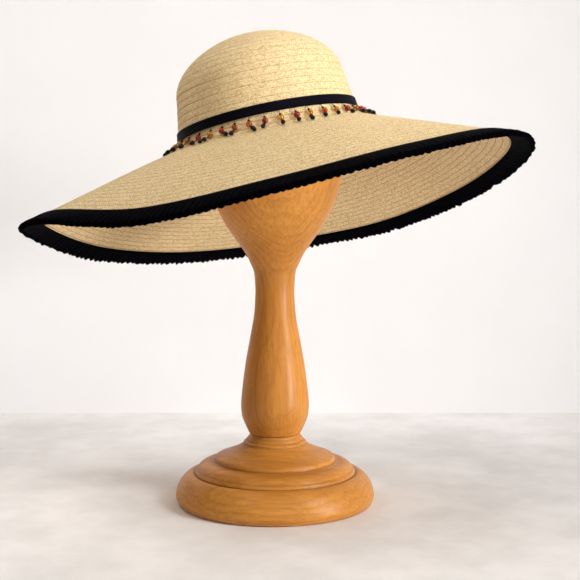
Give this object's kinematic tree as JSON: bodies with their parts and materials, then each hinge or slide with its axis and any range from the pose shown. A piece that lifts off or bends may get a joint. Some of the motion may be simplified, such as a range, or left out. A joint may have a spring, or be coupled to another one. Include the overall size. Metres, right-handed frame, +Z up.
{
  "type": "floppy sun hat on a turned wooden hat stand",
  "caption": "Wide-brimmed straw sun hat with black ribbon, bead drops and black gathered edge, tilted on a plain turned wooden hat stand.",
  "frame": {"origin": "centre of the stand's underside, on the surface that it stands on", "axes": "+Z up along the stand's axis; the hat's front faces -Y; +X is the side where the brim is raised"},
  "size_m": [0.4959, 0.461, 0.471],
  "materials": {
    "wood": "satin varnished hardwood, honey brown",
    "straw": "natural paper straw braid sewn in rows, matt",
    "ribbon": "black satin ribbon",
    "trim": "black gathered braid, matt",
    "bead_amber": "clear amber bead over a dark bead",
    "bead_orange": "clear orange bead over a dark bead",
    "bead_red": "clear red bead over a dark bead"
  },
  "bodies": {
    "root": {"stand_foot": "wood", "stand_post": "wood", "crown_top": "straw", "crown_side": "straw", "brim_inner": "straw", "brim_outer": "straw", "hat_band": "ribbon", "edge_trim": "trim", "bead_drop_01": "bead_amber", "bead_drop_02": "bead_orange", "bead_drop_03": "bead_amber", "bead_drop_04": "bead_amber", "bead_drop_05": "bead_amber", "bead_drop_06": "bead_red", "bead_drop_07": "bead_amber", "bead_drop_08": "bead_red", "bead_drop_09": "bead_orange", "bead_drop_10": "bead_orange", "bead_drop_11": "bead_red", "bead_drop_12": "bead_amber", "bead_drop_13": "bead_red", "bead_drop_14": "bead_amber", "bead_drop_15": "bead_orange", "bead_drop_16": "bead_amber", "bead_drop_17": "bead_red", "bead_drop_18": "bead_amber", "bead_drop_19": "bead_red", "bead_drop_20": "bead_orange", "bead_drop_21": "bead_amber", "bead_drop_22": "bead_orange", "bead_drop_23": "bead_amber", "bead_drop_24": "bead_amber", "bead_drop_25": "bead_amber", "bead_drop_26": "bead_red", "bead_drop_27": "bead_amber", "bead_drop_28": "bead_red", "bead_drop_29": "bead_orange", "bead_drop_30": "bead_orange", "bead_drop_31": "bead_red", "bead_drop_32": "bead_amber", "bead_drop_33": "bead_red", "bead_drop_34": "bead_amber", "bead_drop_35": "bead_orange", "bead_drop_36": "bead_amber", "bead_drop_37": "bead_red", "bead_drop_38": "bead_amber", "bead_drop_39": "bead_red", "bead_drop_40": "bead_orange"}
  },
  "joints": []
}
